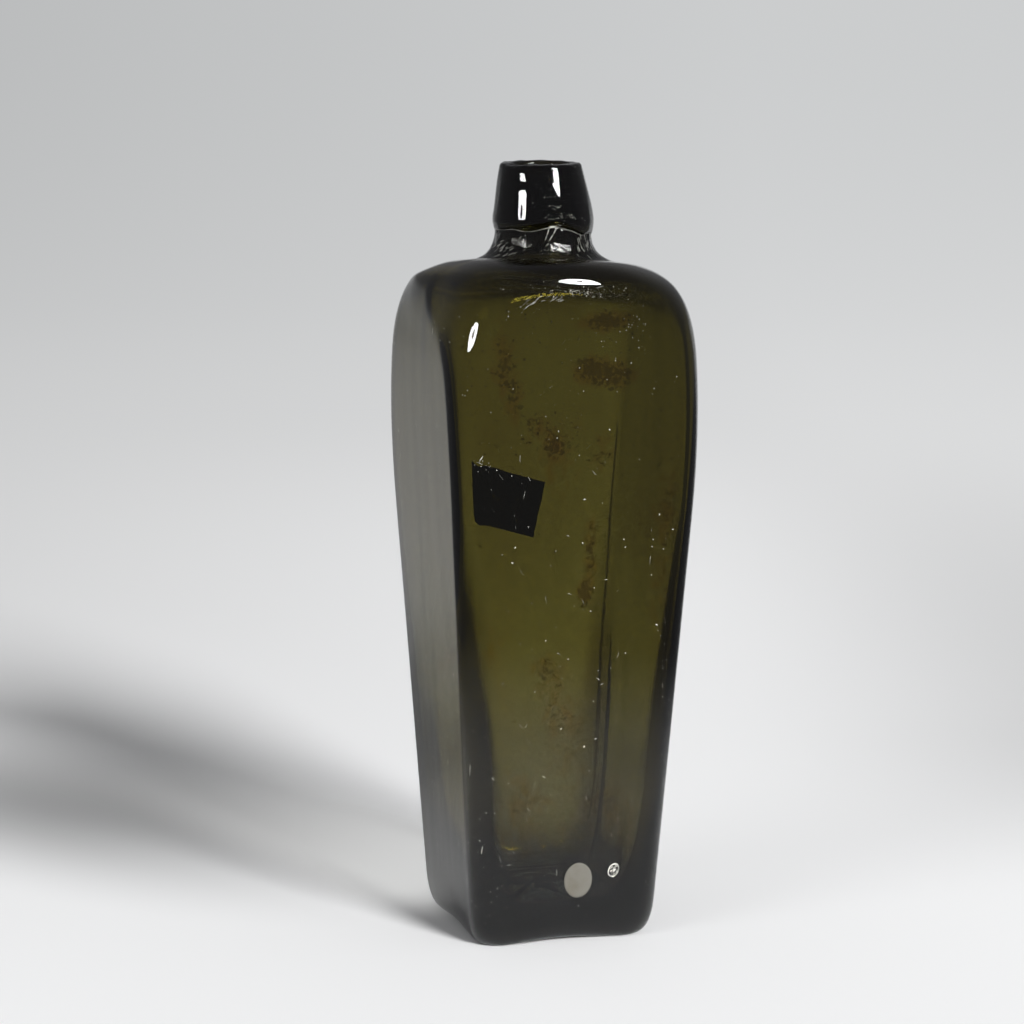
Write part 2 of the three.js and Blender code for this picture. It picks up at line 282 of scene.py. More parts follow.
class Mould:
    """Turns points of a round bubble into points of the square bottle. A pair of levels or of
    half-widths says where something begins and where it is complete."""

    CROWDING = 0.72                       # how strongly the steps crowd at the corners,
    CROWDING_ENDS = (224 * MM, 232 * MM)  # below the neck
    CORNER_GROWS_FROM = 150 * MM          # level from which the corners' radius grows
    KICK_ROUNDS = 0.6                     # how fast the pushed-up base grows round inwards
    SHARP_INSIDE = 4 * MM                 # radius of the inner corners on the upper walls,
    ROUND_INSIDE = 11.5 * MM              # and at the foot, where the glass is thickest
    SHARP_DOWN_TO = 150 * MM              # that radius grows from this level down,
    ROUNDS_OVER = 84 * MM                 # over this height
    SOFT_CORNER = 20 * MM                 # what the front left corner's radius gains,
    SOFT_TURN = (-32, 24)                 # middle and width in degrees from that corner,
    SOFT_LEVEL = (219 * MM, 14 * MM)      # and middle and width in height
    ROUND_FROM = 206 * MM                 # the shoulder turns round from this level,
    ROUND_OVER = 24.5 * MM                # over this height,
    ROUND_POWER = 2.2                     # slowly at first,
    SIDES_SWELL = 2.4 * MM                # and its sides swell out by so much there
    LEAN_FRONT = 0.097                    # slope of the shoulder, which rises to the camera,
    LEAN_SIDE = -0.032                    # and falls a little to the camera's right
    SADDLE = 800 * MM                     # radius in which it sags from front to back, and
                                          # falls to the left and right
    LEANS = (203 * MM, 224 * MM)          # the slope begins at these levels,
    LEVELS_OUT = (224 * MM, 230.5 * MM)   # and is less across, nearly flat, at these
    NECK_OUTSIDE = (19.5 * MM, 27 * MM)   # inside these half-widths the neck stands straight
    NECK_INSIDE = (12 * MM, 20 * MM)
    WAVES_END = 8 * MM                    # the walls' waves end so far below the neck
    INSIDE_WAVES = 0.45 * MM
    DRAWN_LINES = 0.07 * MM
    FOLD_DEPTH = 0.35 * MM
    FOLD_FOOT = (22 * MM, 34 * MM)
    FOLD_TOP = (166 * MM, 172 * MM)
    FOLD_TURN = 43.1                      # direction of the fold in degrees, and its shifts
    FOLD_SHIFTS = ((0.8, 56 * MM, 112 * MM), (-1.6, 136 * MM, 170 * MM))
    MARKS_BEGIN = 3 * MM                  # the tool's marks on the neck begin over this height,
    MARKS_END = (243 * MM, 244.5 * MM)    # and end under the lip
    FINE_MARKS = 0.26 * MM
    BROAD_MARKS = 0.22 * MM
    CREASE_WIDTH = 2.4                    # in degrees
    SCAR = 11 * MM                        # radius of the scar under the base
    SCAR_RING = 2.2 * MM                  # width of its rough edge,
    SCAR_FADES = 5 * MM                   # which has faded out so far outside it
    SCAR_DEPTH = 0.5 * MM

    def __init__(self, size):
        self.size = size

    def softened(self, angle, z):
        """Extra radius of the front left corner. It is blown rounder below the shoulder, on the
        side of the left face."""
        off = off_corner(angle)
        return self.SOFT_CORNER * bump_at(off, *self.SOFT_TURN) * bump_at(z, *self.SOFT_LEVEL)

    def growth(self, z):
        """What a corner's radius has gained on its way up to the round neck."""
        size = self.size
        share = max(0.0, z - self.CORNER_GROWS_FROM) / (size.shoulder_top - self.CORNER_GROWS_FROM)
        return (size.neck_root - size.corner) * share ** 2

    def corner_outside(self, half, z):
        size = self.size
        inwards = max(0.0, size.foot_inner - half) if z < size.heel_level else 0.0
        return min(half, size.corner + inwards * self.KICK_ROUNDS + self.growth(z))

    def corner_inside(self, half, z):
        foot = min(1.0, max(0.0, (self.SHARP_DOWN_TO - z) / self.ROUNDS_OVER))
        corner = self.SHARP_INSIDE + (self.ROUND_INSIDE - self.SHARP_INSIDE) * foot
        return min(half, corner + self.growth(z))

    def reach(self, angle, half, corner, z):
        """Distance from the axis. The shoulder's sides swell out towards a circle."""
        square = section_reach(angle, half, corner)
        circle = (half - corner) * (math.cos(CAMERA_TURN) + math.sin(CAMERA_TURN)) + corner
        roundness = min(1.0, max(0.0, (z - self.ROUND_FROM) / self.ROUND_OVER))
        roundness = roundness ** self.ROUND_POWER
        circle += self.SIDES_SWELL * (1 - roundness)
        return square + (circle - square) * roundness

    def lean(self, place, half, z, inside):
        """How far the leaning shoulder is raised, or lowered, at a point."""
        neck = soft_step(*(self.NECK_INSIDE if inside else self.NECK_OUTSIDE), half)
        share = soft_step(*self.LEANS, z) * neck
        top = soft_step(*self.LEVELS_OUT, z)
        near = -place.x * math.sin(CAMERA_TURN) - place.y * math.cos(CAMERA_TURN)
        side = place.x * math.cos(CAMERA_TURN) - place.y * math.sin(CAMERA_TURN)
        sloped = self.LEAN_FRONT * near + self.LEAN_SIDE * side * (1 - top / 2)
        return (sloped + (near ** 2 - side ** 2 * top) / (2 * self.SADDLE)) * share

    def arch(self, angle, half, z):
        """Rise of the outside at the base, between two feet."""
        size = self.size
        if z >= size.heel_level:
            return 0.0
        share = half / size.foot_inner if half < size.foot_inner else 1 - z / size.heel_level
        flat = size.heel_half - size.corner
        along = min(1.0, math.tan(off_face(angle)) * size.heel_half / flat)
        return size.foot_arch * share * (1 - along ** 2) ** 2

    def sunk(self, place, angle, inside):
        """How far the glass lies inside its true section, from uneven blowing."""
        size = self.size
        walls = 1 - soft_step(size.shoulder_top - self.WAVES_END, size.shoulder_top, place.z)
        if inside:
            waves = 0.7 * wobble(place, 40 * MM, 3.0, 0.35)
            waves += 0.3 * wobble(place, 12 * MM, 5.0, 0.35)
            fold = self.FOLD_DEPTH * self.crease(angle, place.z)
            return self.INSIDE_WAVES * waves * walls + fold
        broad = 0.5 + 0.5 * wobble(place, 70 * MM, 1.0)
        fine = 0.5 + 0.5 * wobble(place, 16 * MM, 2.0, 0.3)
        lines = 0.5 + 0.5 * wobble(place, 7 * MM, 4.0, 0.05)
        waves = size.unevenness * (0.85 * broad + 0.15 * fine)
        return (waves + self.DRAWN_LINES * lines) * walls

    def crease(self, angle, z):
        """How deep a thin fold in the glass is, from 0 to 1. It wanders down the inner corner
        at the back on the right, and is widest low down."""
        along = soft_step(*self.FOLD_FOOT, z) * (1 - soft_step(*self.FOLD_TOP, z))
        middle = self.FOLD_TURN
        for shift, low, high in self.FOLD_SHIFTS:
            middle += shift * soft_step(low, high, z)
        level = (0.0, 0.0, z)
        wander = 0.9 * wobble(level, 26 * MM, 61.0) + 0.4 * wobble(level, 7 * MM, 63.0)
        width = 0.5 + 0.5 * bump_at(z, 66 * MM, 18 * MM)
        return along * bump_at(math.degrees(angle), middle + wander, width)

    def neck_marks(self, angle, z):
        """Ridges, drag marks and creases of the short neck, standing out as positive."""
        size = self.size
        share = soft_step(size.shoulder_top, size.shoulder_top + self.MARKS_BEGIN, z)
        share *= 1 - soft_step(*self.MARKS_END, z)
        if not share:
            return 0.0
        around = angle * size.neck_waist
        slanted = Vector((around * 0.8 + z * 0.9, (z - around * 0.25) * 0.25, 0.0))
        marks = self.FINE_MARKS * wobble(slanted, 1.5 * MM, 7.0)
        marks += self.BROAD_MARKS * wobble(slanted, 4.5 * MM, 9.0)
        turn = facing(angle)
        for crease in CREASES:
            down = (crease.top - z) / MM
            if 0 <= down <= crease.fall:
                across = bump_at(turn, crease.turn + crease.slant * down, self.CREASE_WIDTH)
                marks += crease.height * MM * across * (1 - down / crease.fall)
        return marks * share

    def scar(self, place, half):
        """Rough ring left under the base where the bottle was held for its lip."""
        ring = bump_at(half, self.SCAR, self.SCAR_RING) * 0.5 + 0.5 * (half < self.SCAR)
        return ring * self.SCAR_DEPTH * wobble(place, 3 * MM, 11.0)

    def pressed(self, co, inside):
        """Where a point of the turned bubble ends up."""
        half = co.xy.length
        if half < NOTHING:
            return co.copy()
        angle = angle_of(co)
        crowding = self.CROWDING * (1 - soft_step(*self.CROWDING_ENDS, co.z))
        angle += crowding / 4 * math.sin(4 * angle)
        corner = self.corner_inside(half, co.z) if inside else self.corner_outside(half, co.z)
        corner = min(half, corner + self.softened(angle, co.z))
        outwards = outwards_at(angle)
        place = outwards * self.reach(angle, half, corner, co.z)
        place.z = co.z + self.lean(place, half, co.z, inside)
        if not inside:
            place.z += self.arch(angle, half, co.z)
            if half < self.SCAR + self.SCAR_FADES and co.z < self.size.heel_level:
                place.z += self.scar(place, half)
            place += outwards * self.neck_marks(angle, co.z)
        return place - outwards * self.sunk(place, angle, inside)


def outside_outline(size):
    """The outside, from the middle of the base up to the end of the neck."""
    line = Outline(0.0, size.kick)
    line.curve_to((size.foot_inner * 0.55, size.kick), (size.foot_inner * 0.8, 0.0),
                  (size.foot_inner, 0.0), 24)
    line.line_to(size.foot_outer, 0.0, 5)
    line.bend_to((size.heel_half - 0.9 * MM, 0.6 * MM), (size.heel_half, size.heel_level), 14)
    line.line_to(size.taper_top_half, size.taper_top, 36)
    line.bend_to((size.shoulder_half, size.taper_top + 36 * MM),
                 (size.shoulder_half, size.shoulder_level), 20)
    line.curve_to((size.shoulder_half, size.shoulder_level + 25 * MM),
                  (size.neck_root + 14 * MM, size.shoulder_top),
                  (size.neck_root, size.shoulder_top), 48)
    line.curve_to((size.neck_root - 4.5 * MM, size.shoulder_top + 0.4 * MM),
                  (size.neck_waist + 0.4 * MM, size.waist_level - 5.5 * MM),
                  (size.neck_waist, size.waist_level), 22)
    line.line_to(size.neck_waist - 0.05 * MM, size.waist_level + 3.6 * MM, 9)
    line.line_to(size.stub_radius + MM, size.waist_level + 7 * MM, 4)
    line.bend_to((size.stub_radius, size.waist_level + 9 * MM),
                 (size.stub_radius, size.stub_top), 8)
    return line.points


def inside_outline(size):
    """The inside, from the end of the neck down to the middle of the floor."""
    shoulder_half = size.shoulder_half - size.wall
    shoulder_top = size.shoulder_top - 3.5 * MM
    thick_from = 90 * MM          # below this level the walls thicken towards the floor
    floor_edge, floor_middle = 9.5 * MM, 12.5 * MM
    slope = (size.taper_top_half - size.heel_half) / (size.taper_top - size.heel_level)
    thin_half = size.heel_half + slope * (thick_from - size.heel_level) - 3.6 * MM
    line = Outline(size.bore, size.stub_top)
    line.line_to(size.bore + 0.3 * MM, 246 * MM, 8)
    line.curve_to((size.bore + 0.8 * MM, 237 * MM), (size.bore + 3 * MM, shoulder_top),
                  (size.bore + 8 * MM, shoulder_top), 18)
    line.curve_to((shoulder_half - 5.8 * MM, shoulder_top),
                  (shoulder_half, size.shoulder_level + 23.5 * MM),
                  (shoulder_half, size.shoulder_level), 44)
    line.bend_to((shoulder_half, size.taper_top + 36 * MM),
                 (size.taper_top_half - size.wall, size.taper_top), 20)
    line.line_to(thin_half, thick_from, 20)
    line.curve_to((33.2 * MM, 58 * MM), (33 * MM, floor_middle), (20 * MM, floor_edge), 34)
    line.curve_to((12 * MM, 8.5 * MM), (8 * MM, floor_middle), (0.0, floor_middle), 12)
    return line.points


# Dirt on the walls: place across and up the face, half-width and half-height, all in
# millimetres, how strong it is, and whether it is on the front or the back wall
FRONT, BACK = -1, 1
Stain = namedtuple("Stain", "across up half_width half_height strength side",
                   defaults=(FRONT,))

# Orange and brown stains inside
STAINS = (
    Stain(-27, 203, 5, 12, 0.62),
    Stain(-23, 190, 4, 9, 0.5),
    Stain(-16, 182, 5, 5, 0.6),
    Stain(-9, 174, 5, 6, 0.75),
    Stain(9, 215, 9, 4, 1.0),
    Stain(2, 200, 6, 5, 0.75),
    Stain(12, 197, 9, 6, 0.8),
    Stain(8, 172, 6, 9, 0.5),
    Stain(3, 123, 2.6, 4.5, 1.2),
    Stain(5, 138, 3, 11, 0.75),
    Stain(-9, 96, 8, 9, 0.57),
    Stain(-6, 80, 6, 7, 0.56),
    Stain(31, 150, 5, 16, 0.6),
    Stain(30, 122, 5, 12, 0.45),
    Stain(11, 52, 8, 12, 0.5),
    Stain(-18, 54, 9, 12, 0.42),
    Stain(18, 160, 14, 20, 0.5, BACK),
    Stain(-14, 90, 12, 16, 0.5, BACK),
    Stain(22, 60, 10, 18, 0.45, BACK),
)

# Dark smudges on the outside, which reach up to a low level
SMUDGES = (
    Stain(-3.5, 12.0, 4.5, 1.2, 2.2),
    Stain(4, 13.6, 6, 0.8, 1.5),
)
SMUDGES_UP_TO = 20 * MM


def spots_at(place, spots):
    """Strength of a list of spots at a point of the glass."""
    total = 0.0
    for spot in spots:
        if place.y * spot.side > 0:
            across = (place.x / MM - spot.across) / spot.half_width
            up = (place.z / MM - spot.up) / spot.half_height
            total += spot.strength * math.exp(-(across ** 2 + up ** 2))
    return total


def stain_at(place):
    """Strength of the orange and brown dirt at a point of the inside: a trace everywhere, the
    stains, patches on the side walls, and more towards the floor."""
    trace = 0.04
    side_wall = bump_at(place.y, 0.0, 20 * MM)
    patches = 0.5 * side_wall * max(0.0, wobble(place, 22 * MM, 13.0))
    low = 0.35 * (1 - soft_step(15 * MM, 75 * MM, place.z))
    return min(1.0, trace + spots_at(place, STAINS) + patches + low)


def soot_and_shade_at(place, fold):
    """Strength of the darkest layer at a point of the inside, given how deep the fold is there. It
    is painted shade in the fold and as a band down the lower part of the front left corner that
    is widest at the foot; it also darkens the neck and makes a faint darker belt round the lower
    walls."""
    neck = 0.8 * soft_step(228 * MM, 235 * MM, place.z)
    off = off_corner(angle_of(place))
    # The band's edge on the front, in degrees from the corner, draws back on its way up
    edge = 3.0 - 3.3 * soft_step(62 * MM, 128 * MM, place.z)
    corner = 0.9 * soft_step(-9, -5, off) * (1 - soft_step(edge - 1.2, edge + 2, off))
    corner *= 1 - soft_step(116 * MM, 140 * MM, place.z)
    low = 0.42 * bump_at(place.z, 56 * MM, 16 * MM)
    return min(1.0, max(fold, neck) + corner + low)


def glass_body(size):
    """The blown body: one closed skin of glass, outside and inside."""
    outside, inside = outside_outline(size), inside_outline(size)
    bm = bmesh.new()
    is_inside = bm.verts.layers.float.new("inside")
    stain = bm.verts.layers.float.new("stain")
    soot = bm.verts.layers.float.new("soot")
    verts, edges = wire(bm, outside + inside)
    for vert in verts[len(outside):]:
        vert[is_inside] = 1.0
    spin_round(bm, verts, edges, size.around)
    mould = Mould(size)
    for vert in bm.verts:
        vert.co = mould.pressed(vert.co, vert[is_inside] > 0.5)
        if vert[is_inside] > 0.5:
            vert[stain] = stain_at(vert.co)
            # The darkest layer, with painted shade in the fold and down the front left corner
            vert[soot] = soot_and_shade_at(vert.co, mould.crease(angle_of(vert.co), vert.co.z))
        elif vert.co.z < SMUDGES_UP_TO:
            vert[soot] = min(1.0, spots_at(vert.co, SMUDGES))
    bmesh.ops.recalc_face_normals(bm, faces=bm.faces)
    return bm


# The lip

GAP = 0.06 * MM                   # between the neck's own end and the lip's glass
LIP_STEPS = 200
SEAM_STEPS = 320
SEAM_THICK = 0.12 * MM            # half the seam's thickness
SEAM_OUT = 0.16 * MM              # how far the seam's middle stands off the neck
SEAM_RISE = 1.05 * MM             # and above the neck's waist
LIP_LEAN = 0.9 * MM               # how far the mouth leans to the camera's left

# Waves of the lip's foot: how far it rises in millimetres, and its direction from the camera's
# side and its width in degrees
FOOT_WAVES = ((2.0, 14, 20), (0.8, -38, 24), (-1.0, 56, 16), (-1.6, 84, 9))


def lip_outline(size):
    """The laid-on lip, from inside the mouth down round the neck, up its outside and back."""
    line = Outline(size.bore, size.stub_top + GAP)
    line.line_to(size.stub_radius + GAP, size.stub_top + GAP, 4)
    line.bend_to((size.stub_radius + GAP, size.waist_level + 9.1 * MM),
                 (size.stub_radius + MM + GAP, size.waist_level + 7.1 * MM), 8)
    line.line_to(size.neck_waist + GAP, size.waist_level + 3.8 * MM, 4)
    line.line_to(size.neck_waist + GAP, size.waist_level + 1.2 * MM, 4)
    line.bend_to((size.lip_widest - 0.6 * MM, size.waist_level + 0.9 * MM),
                 (size.lip_widest - 0.12 * MM, size.waist_level + 3.4 * MM), 10)
    line.bend_to((size.lip_widest + 0.05 * MM, size.waist_level + 4.4 * MM),
                 (size.lip_widest - 0.1 * MM, size.waist_level + 5.6 * MM), 6)
    line.bend_to((size.lip_top + 1.75 * MM, size.height - 9.6 * MM),
                 (size.lip_top, size.height - 2 * MM), 34)
    line.bend_to((size.lip_top - 0.25 * MM, size.height), (12.7 * MM, size.height), 9)
    line.line_to(10.8 * MM, size.height, 5)
    line.bend_to((size.bore, size.height), (size.bore, size.height - 1.4 * MM), 6)
    return line.points


def foot_rise(angle):
    """How far the lip's foot is above or below its level, in millimetres."""
    turn = facing(angle)
    rise = sum(height * bump_at(turn, middle, width) for height, middle, width in FOOT_WAVES)
    return rise + 0.3 * wobble(outwards_at(angle), 0.25, 21.0)


def tooled(angle, z, top):
    """How far the lip's outside stands out, in millimetres: the tool's marks all round, and on
    the camera's left a swelling low down and a slight step above it."""
    turn, up = facing(angle), z / MM
    marks = 0.10 * wobble((angle * 4, up * 0.10, 0.0), 1.0, 23.0)
    slanted = angle * 9 + up * 0.5
    marks += 0.014 * wobble((slanted * 2, up * 0.12, 5.0), 1.0, 25.0)
    marks -= 0.06
    swell = bump_at(z, 245 * MM, 6 * MM) * bump_at(turn, -23, 20)
    step = soft_step(256.2 * MM, 260 * MM, z) * bump_at(turn, -22, 14)
    step *= 1 - soft_step(262.5 * MM, top, z)
    return marks + 0.35 * swell + 0.22 * step


def worn_off(angle, radius):
    """How much the rim has lost in height, in millimetres: a chip on the camera's left, and
    dents all round."""
    turn, out = facing(angle), radius / MM
    chip = bump_at(turn, -48, 18) * (0.5 + 0.5 * wobble((turn / 6, out / 2, 0.0), 1.0, 27.0))
    dents = 0.16 * (1 + wobble((angle * 5, out / 3, 3.0), 1.0, 29.0))
    return 1.3 * chip + dents


def lip_place(co, size):
    """Where a point of the true lip lies on the hand-tooled one."""
    radius, angle = co.xy.length, angle_of(co)
    place = co.copy()
    foot = 1 - soft_step(size.waist_level + 2.2 * MM, size.waist_level + 6 * MM, co.z)
    place.z += foot_rise(angle) * MM * foot

    if radius > size.neck_waist - 3 * MM and co.z > size.waist_level:
        skin = soft_step(size.stub_radius + 1.2 * MM, size.stub_radius + 2 * MM, radius)
        place += outwards_at(angle) * tooled(angle, co.z, size.height) * MM * skin

    leaning = LIP_LEAN * soft_step(248 * MM, size.height, co.z)
    place.x -= leaning * math.cos(CAMERA_TURN)
    place.y += leaning * math.sin(CAMERA_TURN)
    rim = soft_step(size.height - 3 * MM, size.height, co.z)
    place.z -= worn_off(angle, radius) * MM * rim
    return place


def laid_on_lip(size):
    """The lip: a second gather of glass, tooled to a taper round the neck's end."""
    bm = turned(lip_outline(size), LIP_STEPS, closed=True)
    for vert in bm.verts:
        vert.co = lip_place(vert.co, size)
    bmesh.ops.recalc_face_normals(bm, faces=bm.faces)
    return bm


def lip_seam(size):
    """The thin broken edge where the lip's foot meets the neck, pale all along as a painted glint.
    """
    middle = size.neck_waist + SEAM_OUT
    section = [(middle + SEAM_THICK * math.cos(step * math.pi / 3),
                SEAM_THICK * math.sin(step * math.pi / 3)) for step in range(6)]
    bm = turned(section, SEAM_STEPS, closed=True)
    for vert in bm.verts:
        angle = angle_of(vert.co)
        round_it = outwards_at(angle) * size.neck_waist
        thickness = 0.3 + 1.3 * abs(wobble(round_it, 2.2 * MM, 71.0))
        thickness *= 1 - 0.6 * soft_step(38, 50, abs(facing(angle)))
        radius = middle + (vert.co.xy.length - middle) * thickness
        radius += 0.10 * MM * wobble(round_it, 0.9 * MM, 73.0)
        level = size.waist_level + SEAM_RISE + foot_rise(angle) * MM
        level += (0.30 * wobble(round_it, 2.6 * MM, 75.0)
                  + 0.12 * wobble(round_it, 0.8 * MM, 77.0)) * MM
        height = Vector((0.0, 0.0, level + vert.co.z * thickness))
        vert.co = round_it.normalized() * radius + height
    bmesh.ops.recalc_face_normals(bm, faces=bm.faces)
    return bm


# Shader building

class Value:
    """A socket that can be calculated with: each operator adds a Math node."""

    def __init__(self, paint, socket):
        self.paint, self.socket = paint, socket

    def _math(self, operation, first, second=None, clamp=False):
        values = {0: first} if second is None else {0: first, 1: second}
        return self.paint.node("Math", {"operation": operation, "use_clamp": clamp}, values)

    def __add__(self, other):
        return self._math("ADD", self, other)

    def __radd__(self, other):
        return self._math("ADD", other, self)

    def __sub__(self, other):
        return self._math("SUBTRACT", self, other)

    def __rsub__(self, other):
        return self._math("SUBTRACT", other, self)

    def __mul__(self, other):
        return self._math("MULTIPLY", self, other)

    def __rmul__(self, other):
        return self._math("MULTIPLY", other, self)

    def __truediv__(self, other):
        return self._math("DIVIDE", self, other)

    def to(self, operation, other=None):
        """The result of any other operation of the Math node."""
        return self._math(operation, self, other)

    def clamped(self):
        return self._math("ADD", self, 0.0, clamp=True)

    def above(self, level, softness):
        """0 below level, rising to 1 within softness above it."""
        return ((self - level) / softness).clamped()


class Paint:
    """The nodes of a material, or of the world, under construction."""

    def __init__(self, owner):
        owner.use_nodes = True
        self.owner, self.tree = owner, owner.node_tree
        self.tree.nodes.clear()

    def node(self, kind, settings=None, sockets=None, out=0):
        """Adds a node: its type, its settings, then the values or links of its sockets."""
        node = self.tree.nodes.new("ShaderNode" + kind)
        for key, value in (settings or {}).items():
            setattr(node, key, value)
        for key, value in (sockets or {}).items():
            if isinstance(value, Value):
                self.tree.links.new(value.socket, node.inputs[key])
            else:
                node.inputs[key].default_value = value
        return Value(self, node.outputs[out])

    def object_place(self):
        return self.node("TexCoord", out="Object")

    def attribute(self, name):
        return self.node("Attribute", {"attribute_name": name}, out="Fac")

    def split(self, vector):
        """The three numbers of a vector."""
        first = self.node("SeparateXYZ", {}, {0: vector})
        return [Value(self, output) for output in first.socket.node.outputs]

    def noise(self, scale, detail, stretch=(1, 1, 1), distortion=0.0):
        """Noise on Object coordinates; a scale of 1000 has features of about a millimetre."""
        place = self.node("Mapping", {}, {"Vector": self.object_place(), "Scale": stretch})
        return self.node("TexNoise", {}, {"Vector": place, "Scale": scale, "Detail": detail,
                                          "Roughness": 0.55, "Distortion": distortion})

    def mix(self, factor, first, second):
        """Blends two colours."""
        colours = {"Factor": factor, 6: first, 7: second}
        return self.node("Mix", {"data_type": "RGBA"}, colours, out=2)

    def scaled(self, tone, factor):
        """A colour made darker or lighter."""
        return self.node("VectorMath", {"operation": "SCALE"}, {0: tone, "Scale": factor})

    def bump(self, height, distance, strength=1.0):
        return self.node("Bump", {}, {"Height": height, "Distance": distance,
                                      "Strength": strength})

    def light(self, tone, strength=1.0):
        return self.node("Emission", {}, {"Color": tone, "Strength": strength})

    def finish(self, surface, volume=None, kind="Material"):
        """Links the shaders to the output, and gives the finished material or world."""
        output = self.tree.nodes.new("ShaderNodeOutput" + kind)
        self.tree.links.new(surface.socket, output.inputs["Surface"])
        if volume:
            self.tree.links.new(volume.socket, output.inputs["Volume"])
        return self.owner


def painted(name):
    """A new, empty material, ready for its nodes."""
    return Paint(bpy.data.materials.new(name))


def rgba(value):
    return (*value, 1.0)


def smooth(value, low, high):
    """0 below low, 1 above high, smooth between; a shader's soft_step."""
    return value.paint.node("MapRange", {"interpolation_type": "SMOOTHSTEP"},
                            {"Value": value, "From Min": low, "From Max": high})


# Materials of the bottle

CLEAR = (1.0, 1.0, 1.0, 1.0)
NECK_FROM, NECK_FULL = 232.3 * MM, 234.5 * MM     # levels of the neck's dull, marked glass


def dirt_and_shade_colour(paint, colours):
    """Clear glass under layers of dirt and painted shade, which lie where the mesh says."""
    stain, soot = paint.attribute("stain"), paint.attribute("soot")
    inside = stain.above(0.01, 0.02)
    haze = paint.noise(45, 5.0, (1, 1, 0.4), 0.4).above(0.45, 0.25) * inside
    ragged = paint.noise(190, 6.0, (1, 1, 0.7), 0.9)
    film = (stain * 0.75 + ragged * 1.1).above(0.78, 0.28) * stain.above(0.05, 0.3)
    grain = paint.noise(750, 4.0, distortion=0.6)
    crust = (stain * 0.5 + grain * 1.05).above(0.82, 0.09) * stain.above(0.08, 0.2)
    dots = paint.noise(620, 2.0).above(0.68, 0.05) * inside
    tone = paint.mix(haze * 0.6, CLEAR, rgba(colours.haze))
    tone = paint.mix(film * 0.8, tone, rgba(colours.film))
    tone = paint.mix((crust * 0.8 + dots).clamped() * 0.9, tone, rgba(colours.crust))
    # The darkest layer: painted shade in the fold and down the front left corner, the darker neck,
    # and the smudges low down
    return paint.mix((soot * 1.3).clamped() * 0.93, tone, rgba(colours.soot))


def glass_material(name, colours, density, dirty_and_shaded):
    """Thick olive glass: clear at its surface and coloured by what it absorbs. The body's has dirt
    and painted shade inside, and a duller, uneven neck."""
    paint = painted(name)
    wear = paint.noise(700, 4.0, (1, 1, 0.6)).above(0.62, 0.2)
    roughness = 0.012 + wear * 0.05
    uneven = paint.noise(230, 2.0, (1, 1, 0.4)) * 0.004
    if dirty_and_shaded:
        _, _, height = paint.split(paint.object_place())
        neck = smooth(height, NECK_FROM, NECK_FULL)
        roughness = roughness + neck * 0.05
        uneven = uneven + paint.noise(1300, 3.0, (1, 1, 0.2)) * neck * 0.16
    surface = paint.node("BsdfPrincipled", {}, {
        "IOR": 1.5, "Transmission Weight": 1.0, "Roughness": roughness,
        "Base Color": dirt_and_shade_colour(paint, colours) if dirty_and_shaded else CLEAR,
        "Normal": paint.bump(uneven, MM)})
    volume = paint.node("VolumeAbsorption", {}, {"Color": rgba(colours.glass),
                                                 "Density": density})
    return paint.finish(surface, volume)


def paper_material(name, tone):
    """Dull, fibrous, slightly stained paper."""
    paint = painted(name)
    fibre = paint.noise(1500, 5.0, (1, 1, 0.5))
    blotch = paint.noise(160, 3.0)
    aged = [c * share for c, share in zip(tone, (0.72, 0.66, 0.56))]
    base = paint.mix(blotch.above(0.42, 0.4) * 0.8, rgba(tone), rgba(aged))
    base = paint.mix(fibre.above(0.5, 0.5) * 0.25, base, rgba([c * 0.8 for c in tone]))
    normal = paint.bump(fibre, 0.05 * MM, 0.5)
    return paint.finish(paint.node("BsdfPrincipled", {}, {
        "Base Color": base, "Roughness": 0.85, "Normal": normal}))


def crumb_and_glint_material(colours):
    """Dust, nicks, scratches and painted glints: pale, broken glass and dirt."""
    paint = painted("pale_crumbs")
    base = paint.mix(paint.noise(320, 2.0).above(0.34, 0.3),
                     rgba([c * 0.15 for c in colours.crumb_and_glint]), rgba(colours.crumb_and_glint))
    return paint.finish(paint.node("BsdfPrincipled", {}, {
        "Base Color": base, "Roughness": 0.35}))


# The camera, and places taken through it

class Camera:
    """The photograph's camera, fitted to the bottle's outline."""

    DISTANCE = 1190 * MM          # from the bottle's axis, along the camera's heading
    HEIGHT = 344.8 * MM
    ASIDE = -9.98 * MM            # how far the camera stands to the left of the axis
    PITCH = math.radians(9.547)
    ROLL = math.radians(0.3)
    FOCAL = 3501.5                # in pixels of the picture

    @classmethod
    def matrix(cls):
        heading = Matrix.Rotation(-CAMERA_TURN, 4, "Z")
        place = heading @ Vector((cls.ASIDE, -cls.DISTANCE, cls.HEIGHT))
        tilt = Matrix.Rotation(math.radians(90) - cls.PITCH, 4, "X")
        return Matrix.Translation(place) @ heading @ tilt @ Matrix.Rotation(cls.ROLL, 4, "Z")

    @classmethod
    def ray(cls, x, y):
        """Start and direction of the ray through a pixel of the picture."""
        matrix = cls.matrix()
        towards = Vector((x - PICTURE / 2, PICTURE / 2 - y, -cls.FOCAL))
        return matrix.translation, (matrix.to_3x3() @ towards).normalized()


FAR_OFF = 0.2                     # rays at the bottle start this far from its axis


def surface_tree(*names):
    """What rays are cast on to find places on finished pieces."""
    bm = bmesh.new()
    for name in names:
        bm.from_mesh(bpy.data.objects[name].data)
    tree = BVHTree.FromBMesh(bm)
    bm.free()
    return tree


def met(tree, start, towards):
    """Place and normal where a ray first meets the glass, or None twice."""
    return tree.ray_cast(start, towards)[:2]


def at_pixel(tree, x, y):
    """Place and normal of the glass that a pixel of the picture shows, if it does."""
    return met(tree, *Camera.ray(x, y))


